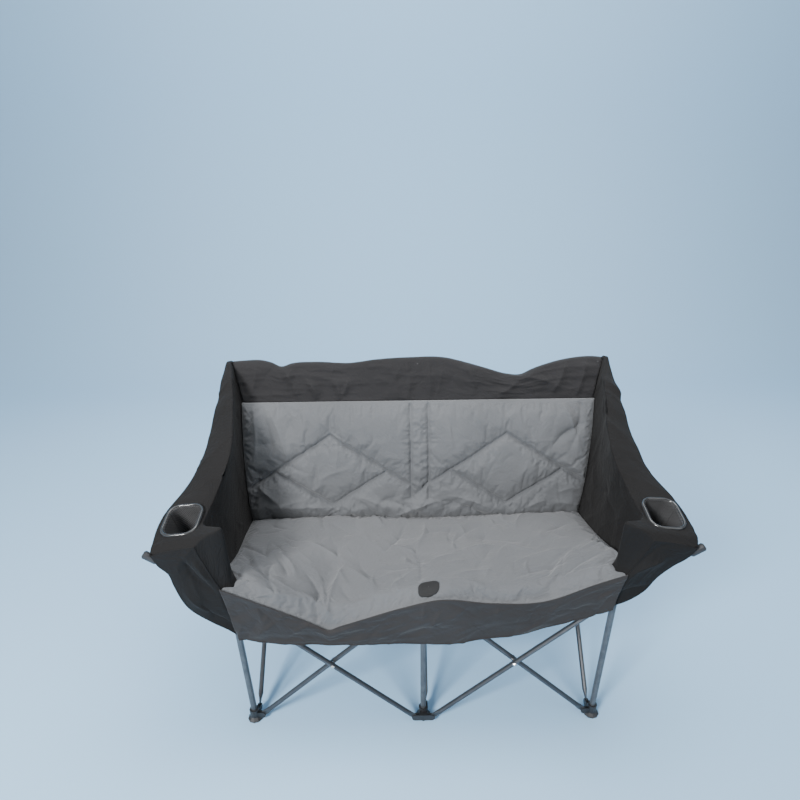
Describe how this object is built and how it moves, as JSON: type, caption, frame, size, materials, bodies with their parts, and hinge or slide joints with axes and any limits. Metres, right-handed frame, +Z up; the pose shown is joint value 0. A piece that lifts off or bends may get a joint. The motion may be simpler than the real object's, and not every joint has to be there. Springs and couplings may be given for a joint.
{
  "type": "folding camping loveseat",
  "caption": "Wide folding camp seat: padded grey sling with quilted back, black side wings with cup holders, on a crossed steel tube frame that folds in both directions.",
  "frame": {"origin": "on the floor, under the middle of the chair's outer box", "axes": "+X to the right as seen from the front, +Y towards the back, +Z up"},
  "size_m": [1.2788, 0.6212, 0.85],
  "materials": {
    "painted_steel": "dark grey paint, satin",
    "moulded_plastic": "moulded, matt",
    "bare_rivet": "plain zinc",
    "grey_cloth": "woven polyester over padding",
    "black_cloth": "woven polyester, wrinkled",
    "pocket_mesh": "open knitted mesh",
    "ring_plastic": "moulded, semi-gloss",
    "patch_rubber": "moulded, matt"
  },
  "bodies": {
    "rear_centre_post": {"foot_rear_centre": "moulded_plastic", "post_rear_centre": "painted_steel", "post_cap_rear_centre": "moulded_plastic", "back_pad": "grey_cloth", "top_border": "black_cloth", "seat_pad": "grey_cloth"},
    "forward_brace_centre": {"forward_brace_centre": "painted_steel", "seat_patch": "patch_rubber"},
    "rearward_brace_centre": {"rearward_brace_centre": "painted_steel", "crossing_rivet_side_centre": "bare_rivet"},
    "front_centre_post": {"foot_front_centre": "moulded_plastic", "post_front_centre": "painted_steel"},
    "hub_front_centre": {"hub_front_centre": "moulded_plastic", "centre_rod": "painted_steel", "front_valance": "black_cloth"},
    "hub_rear_centre": {"hub_rear_centre": "moulded_plastic"},
    "arm_brace_left": {"arm_brace_left": "painted_steel", "arm_cap_left": "moulded_plastic"},
    "inner_brace_front_left": {"inner_brace_front_left": "painted_steel", "crossing_rivet_front_left": "bare_rivet"},
    "front_left_post": {"foot_front_left": "moulded_plastic", "post_front_left": "painted_steel", "post_cap_front_left": "moulded_plastic", "cup_ring_left": "ring_plastic", "cup_pocket_left": "pocket_mesh"},
    "hub_front_left": {"hub_front_left": "moulded_plastic"},
    "outer_brace_rear_left": {"outer_brace_rear_left": "painted_steel"},
    "inner_brace_rear_left": {"inner_brace_rear_left": "painted_steel", "crossing_rivet_rear_left": "bare_rivet"},
    "rear_left_post": {"foot_rear_left": "moulded_plastic", "post_rear_left": "painted_steel", "post_cap_rear_left": "moulded_plastic", "wing_left": "black_cloth"},
    "hub_rear_left": {"hub_rear_left": "moulded_plastic"},
    "rearward_brace_left": {"rearward_brace_left": "painted_steel"},
    "forward_brace_left": {"forward_brace_left": "painted_steel", "crossing_rivet_side_left": "bare_rivet"},
    "arm_brace_right": {"arm_brace_right": "painted_steel", "arm_cap_right": "moulded_plastic"},
    "inner_brace_front_right": {"inner_brace_front_right": "painted_steel", "crossing_rivet_front_right": "bare_rivet"},
    "front_right_post": {"foot_front_right": "moulded_plastic", "post_front_right": "painted_steel", "post_cap_front_right": "moulded_plastic", "cup_ring_right": "ring_plastic", "cup_pocket_right": "pocket_mesh"},
    "hub_front_right": {"hub_front_right": "moulded_plastic"},
    "outer_brace_rear_right": {"outer_brace_rear_right": "painted_steel"},
    "inner_brace_rear_right": {"inner_brace_rear_right": "painted_steel", "crossing_rivet_rear_right": "bare_rivet"},
    "rear_right_post": {"foot_rear_right": "moulded_plastic", "post_rear_right": "painted_steel", "post_cap_rear_right": "moulded_plastic", "wing_right": "black_cloth"},
    "hub_rear_right": {"hub_rear_right": "moulded_plastic"},
    "rearward_brace_right": {"rearward_brace_right": "painted_steel"},
    "forward_brace_right": {"forward_brace_right": "painted_steel", "crossing_rivet_side_right": "bare_rivet"}
  },
  "joints": [
    {"name": "fold", "type": "hinge", "parent": "rear_centre_post", "child": "forward_brace_centre", "pos_m": [-0.008, 0.17322, 0.018], "axis": [-1, 0, 0], "range_deg": [0, 41.3], "deforming": ["seat_pad", "back_pad", "top_border", "front_valance", "wing_left", "wing_right"]},
    {"name": "centre_crossing", "type": "hinge", "parent": "forward_brace_centre", "child": "rearward_brace_centre", "pos_m": [0, -0.03778, 0.216], "axis": [1, 0, 0], "range_deg": [0, 82.6]},
    {"name": "front_centre_foot_pivot", "type": "hinge", "parent": "rearward_brace_centre", "child": "front_centre_post", "pos_m": [0.008, -0.24878, 0.018], "axis": [1, 0, 0], "range_deg": [-41.3, 0]},
    {"name": "front_centre_hub_pivot", "type": "hinge", "parent": "forward_brace_centre", "child": "hub_front_centre", "pos_m": [-0.008, -0.24878, 0.414], "axis": [1, 0, 0], "range_deg": [0, 41.3]},
    {"name": "rear_centre_hub_pivot", "type": "hinge", "parent": "rearward_brace_centre", "child": "hub_rear_centre", "pos_m": [0.008, 0.17322, 0.414], "axis": [1, 0, 0], "range_deg": [-41.3, 0]},
    {"name": "arm_brace_left_pivot", "type": "hinge", "parent": "front_centre_post", "child": "arm_brace_left", "pos_m": [-0.022, -0.29028, 0.018], "axis": [0, 1, 0], "range_deg": [0, 41.3]},
    {"name": "front_left_crossing", "type": "hinge", "parent": "arm_brace_left", "child": "inner_brace_front_left", "pos_m": [-0.233, -0.28253, 0.216], "axis": [0, 1, 0], "range_deg": [-82.6, 0]},
    {"name": "front_left_foot_pivot", "type": "hinge", "parent": "inner_brace_front_left", "child": "front_left_post", "pos_m": [-0.444, -0.27478, 0.018], "axis": [0, 1, 0], "range_deg": [0, 41.3]},
    {"name": "front_left_hub_pivot", "type": "hinge", "parent": "arm_brace_left", "child": "hub_front_left", "pos_m": [-0.444, -0.29028, 0.414], "axis": [0, 1, 0], "range_deg": [-41.3, 0]},
    {"name": "rear_left_brace_pivot", "type": "hinge", "parent": "rear_centre_post", "child": "outer_brace_rear_left", "pos_m": [-0.022, 0.21472, 0.018], "axis": [0, 1, 0], "range_deg": [0, 41.3]},
    {"name": "rear_left_crossing", "type": "hinge", "parent": "outer_brace_rear_left", "child": "inner_brace_rear_left", "pos_m": [-0.233, 0.20697, 0.216], "axis": [0, 1, 0], "range_deg": [-82.6, 0]},
    {"name": "rear_left_foot_pivot", "type": "hinge", "parent": "inner_brace_rear_left", "child": "rear_left_post", "pos_m": [-0.444, 0.19922, 0.018], "axis": [0, 1, 0], "range_deg": [0, 41.3]},
    {"name": "rear_left_hub_pivot", "type": "hinge", "parent": "outer_brace_rear_left", "child": "hub_rear_left", "pos_m": [-0.444, 0.21472, 0.414], "axis": [0, 1, 0], "range_deg": [-41.3, 0]},
    {"name": "side_left_brace_pivot", "type": "hinge", "parent": "front_left_post", "child": "rearward_brace_left", "pos_m": [-0.458, -0.24878, 0.018], "axis": [1, 0, 0], "range_deg": [0, 41.3]},
    {"name": "side_left_crossing", "type": "hinge", "parent": "rearward_brace_left", "child": "forward_brace_left", "pos_m": [-0.466, -0.03778, 0.216], "axis": [1, 0, 0], "range_deg": [-82.6, 0]},
    {"name": "arm_brace_right_pivot", "type": "hinge", "parent": "front_centre_post", "child": "arm_brace_right", "pos_m": [0.022, -0.29028, 0.018], "axis": [0, 1, 0], "range_deg": [-41.3, 0]},
    {"name": "front_right_crossing", "type": "hinge", "parent": "arm_brace_right", "child": "inner_brace_front_right", "pos_m": [0.233, -0.28253, 0.216], "axis": [0, 1, 0], "range_deg": [0, 82.6]},
    {"name": "front_right_foot_pivot", "type": "hinge", "parent": "inner_brace_front_right", "child": "front_right_post", "pos_m": [0.444, -0.27478, 0.018], "axis": [0, 1, 0], "range_deg": [-41.3, 0]},
    {"name": "front_right_hub_pivot", "type": "hinge", "parent": "arm_brace_right", "child": "hub_front_right", "pos_m": [0.444, -0.29028, 0.414], "axis": [0, 1, 0], "range_deg": [0, 41.3]},
    {"name": "rear_right_brace_pivot", "type": "hinge", "parent": "rear_centre_post", "child": "outer_brace_rear_right", "pos_m": [0.022, 0.21472, 0.018], "axis": [0, 1, 0], "range_deg": [-41.3, 0]},
    {"name": "rear_right_crossing", "type": "hinge", "parent": "outer_brace_rear_right", "child": "inner_brace_rear_right", "pos_m": [0.233, 0.20697, 0.216], "axis": [0, 1, 0], "range_deg": [0, 82.6]},
    {"name": "rear_right_foot_pivot", "type": "hinge", "parent": "inner_brace_rear_right", "child": "rear_right_post", "pos_m": [0.444, 0.19922, 0.018], "axis": [0, 1, 0], "range_deg": [-41.3, 0]},
    {"name": "rear_right_hub_pivot", "type": "hinge", "parent": "outer_brace_rear_right", "child": "hub_rear_right", "pos_m": [0.444, 0.21472, 0.414], "axis": [0, 1, 0], "range_deg": [0, 41.3]},
    {"name": "side_right_brace_pivot", "type": "hinge", "parent": "front_right_post", "child": "rearward_brace_right", "pos_m": [0.458, -0.24878, 0.018], "axis": [1, 0, 0], "range_deg": [0, 41.3]},
    {"name": "side_right_crossing", "type": "hinge", "parent": "rearward_brace_right", "child": "forward_brace_right", "pos_m": [0.466, -0.03778, 0.216], "axis": [1, 0, 0], "range_deg": [-82.6, 0]}
  ],
  "couplings": [
    {"joint": "centre_crossing", "follows": "fold", "ratio": 2},
    {"joint": "front_centre_foot_pivot", "follows": "fold", "ratio": -1},
    {"joint": "front_centre_hub_pivot", "follows": "fold", "ratio": 1},
    {"joint": "rear_centre_hub_pivot", "follows": "fold", "ratio": -1},
    {"joint": "arm_brace_left_pivot", "follows": "fold", "ratio": 1},
    {"joint": "front_left_crossing", "follows": "fold", "ratio": -2},
    {"joint": "front_left_foot_pivot", "follows": "fold", "ratio": 1},
    {"joint": "front_left_hub_pivot", "follows": "fold", "ratio": -1},
    {"joint": "rear_left_brace_pivot", "follows": "fold", "ratio": 1},
    {"joint": "rear_left_crossing", "follows": "fold", "ratio": -2},
    {"joint": "rear_left_foot_pivot", "follows": "fold", "ratio": 1},
    {"joint": "rear_left_hub_pivot", "follows": "fold", "ratio": -1},
    {"joint": "side_left_brace_pivot", "follows": "fold", "ratio": 1},
    {"joint": "side_left_crossing", "follows": "fold", "ratio": -2},
    {"joint": "arm_brace_right_pivot", "follows": "fold", "ratio": -1},
    {"joint": "front_right_crossing", "follows": "fold", "ratio": 2},
    {"joint": "front_right_foot_pivot", "follows": "fold", "ratio": -1},
    {"joint": "front_right_hub_pivot", "follows": "fold", "ratio": 1},
    {"joint": "rear_right_brace_pivot", "follows": "fold", "ratio": -1},
    {"joint": "rear_right_crossing", "follows": "fold", "ratio": 2},
    {"joint": "rear_right_foot_pivot", "follows": "fold", "ratio": -1},
    {"joint": "rear_right_hub_pivot", "follows": "fold", "ratio": 1},
    {"joint": "side_right_brace_pivot", "follows": "fold", "ratio": 1},
    {"joint": "side_right_crossing", "follows": "fold", "ratio": -2}
  ]
}
